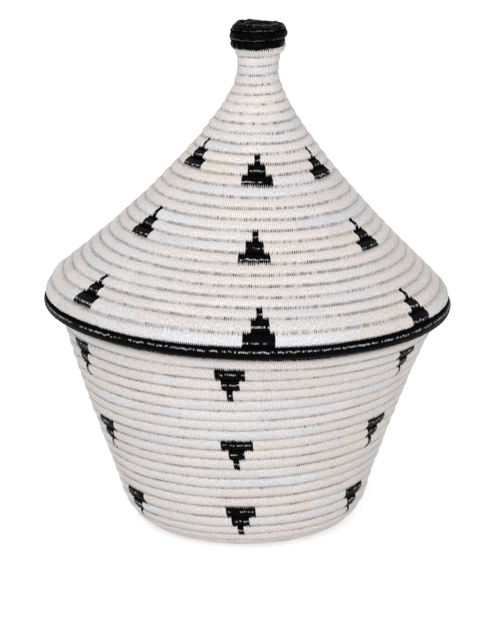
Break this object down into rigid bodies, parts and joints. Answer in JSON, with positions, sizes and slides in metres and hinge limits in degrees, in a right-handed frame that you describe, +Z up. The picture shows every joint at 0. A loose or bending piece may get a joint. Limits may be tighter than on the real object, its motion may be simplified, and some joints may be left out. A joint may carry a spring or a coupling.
{
  "type": "lidded basket",
  "caption": "Coiled sisal basket with sloping sides and a flared conical lid that lifts off by a black knob, with stepped black figures.",
  "frame": {"origin": "on the ground under the middle of the lid's rim; the base stands about 1 mm to -X of it, because the basket leans", "axes": "+Z up, the front of the basket faces -Y, +X to the viewer's right"},
  "size_m": [0.2415, 0.2423, 0.3012],
  "materials": {
    "bleached_sisal": "matte sewn fibre",
    "black_dyed_sisal": "satin sewn fibre"
  },
  "bodies": {
    "basket": {"basket_base": "bleached_sisal", "basket_wall": "bleached_sisal", "basket_rim_coil": "black_dyed_sisal", "basket_figure_lower_1": "black_dyed_sisal", "basket_figure_lower_2": "black_dyed_sisal", "basket_figure_lower_3": "black_dyed_sisal", "basket_figure_lower_4": "black_dyed_sisal", "basket_figure_lower_5": "black_dyed_sisal", "basket_figure_lower_6": "black_dyed_sisal", "basket_figure_middle_1": "black_dyed_sisal", "basket_figure_middle_2": "black_dyed_sisal", "basket_figure_middle_3": "black_dyed_sisal", "basket_figure_middle_4": "black_dyed_sisal", "basket_figure_middle_5": "black_dyed_sisal", "basket_figure_middle_6": "black_dyed_sisal", "basket_figure_upper_1": "black_dyed_sisal", "basket_figure_upper_2": "black_dyed_sisal", "basket_figure_upper_3": "black_dyed_sisal", "basket_figure_upper_4": "black_dyed_sisal", "basket_figure_upper_5": "black_dyed_sisal", "basket_figure_upper_6": "black_dyed_sisal"},
    "lid": {"lid_cone": "bleached_sisal", "lid_rim_coil": "black_dyed_sisal", "lid_seat_coil": "bleached_sisal", "lid_locating_ring": "bleached_sisal", "lid_knob": "black_dyed_sisal", "lid_figure_lower_1": "black_dyed_sisal", "lid_figure_lower_2": "black_dyed_sisal", "lid_figure_lower_3": "black_dyed_sisal", "lid_figure_lower_4": "black_dyed_sisal", "lid_figure_lower_5": "black_dyed_sisal", "lid_figure_lower_6": "black_dyed_sisal", "lid_figure_middle_1": "black_dyed_sisal", "lid_figure_middle_2": "black_dyed_sisal", "lid_figure_middle_3": "black_dyed_sisal", "lid_figure_middle_4": "black_dyed_sisal", "lid_figure_middle_5": "black_dyed_sisal", "lid_figure_middle_6": "black_dyed_sisal", "lid_figure_upper_1": "black_dyed_sisal", "lid_figure_upper_2": "black_dyed_sisal", "lid_figure_upper_3": "black_dyed_sisal", "lid_figure_upper_4": "black_dyed_sisal", "lid_figure_upper_5": "black_dyed_sisal", "lid_figure_upper_6": "black_dyed_sisal"}
  },
  "joints": [
    {"name": "lid_lift", "type": "slide", "parent": "basket", "child": "lid", "axis": [0, 0, 1], "range_m": [0, 0.25]}
  ]
}
